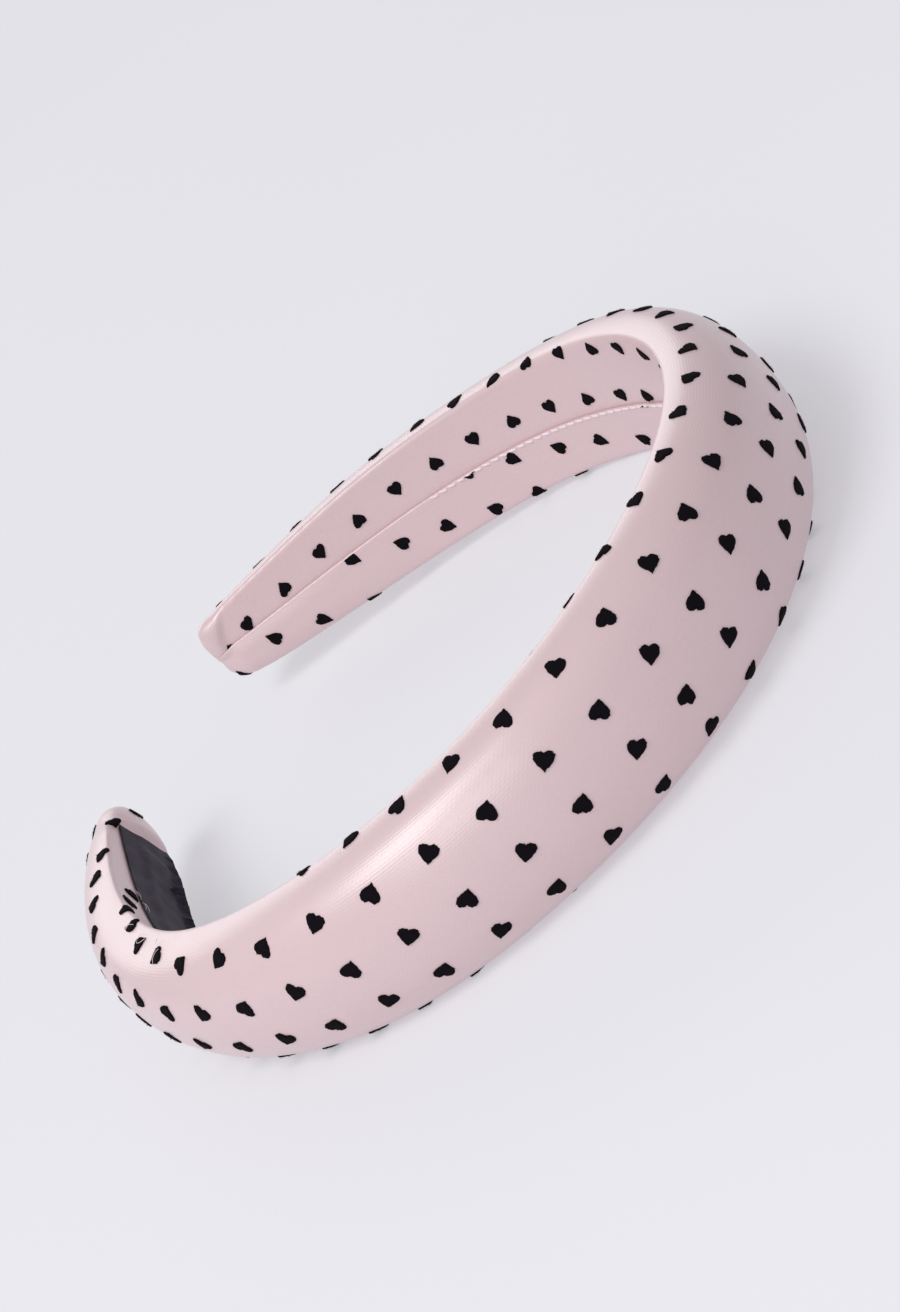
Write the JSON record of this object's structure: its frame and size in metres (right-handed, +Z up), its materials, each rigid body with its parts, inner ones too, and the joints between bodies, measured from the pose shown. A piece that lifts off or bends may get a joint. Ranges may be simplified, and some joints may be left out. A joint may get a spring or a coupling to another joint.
{
  "type": "padded headband",
  "caption": "Padded satin headband, horseshoe shaped and tapering to tucked tips, with a stitched flap along its inside and a plain ribbon patch inside one arm, lying on its side.",
  "frame": {"origin": "middle of the footprint, on the surface that the band lies on", "axes": "+Z up from the surface, -Y towards the crown of the band, +Y towards its open tips, -X towards the arm with the ribbon patch"},
  "size_m": [0.1456, 0.1574, 0.0304],
  "materials": {
    "satin": "pale dusty pink satin with a soft broad sheen, scattered with small black flocked hearts",
    "ribbon": "plain matt charcoal woven ribbon with one frayed edge",
    "flock": "black flocked velvet, slightly raised and fuzzy",
    "thread": "pale pink sewing thread"
  },
  "bodies": {
    "root": {"padded_band": "satin", "inside_flap": "satin", "tip_fold_far": "satin", "tip_fold_near": "satin", "inside_label": "ribbon"}
  },
  "joints": []
}
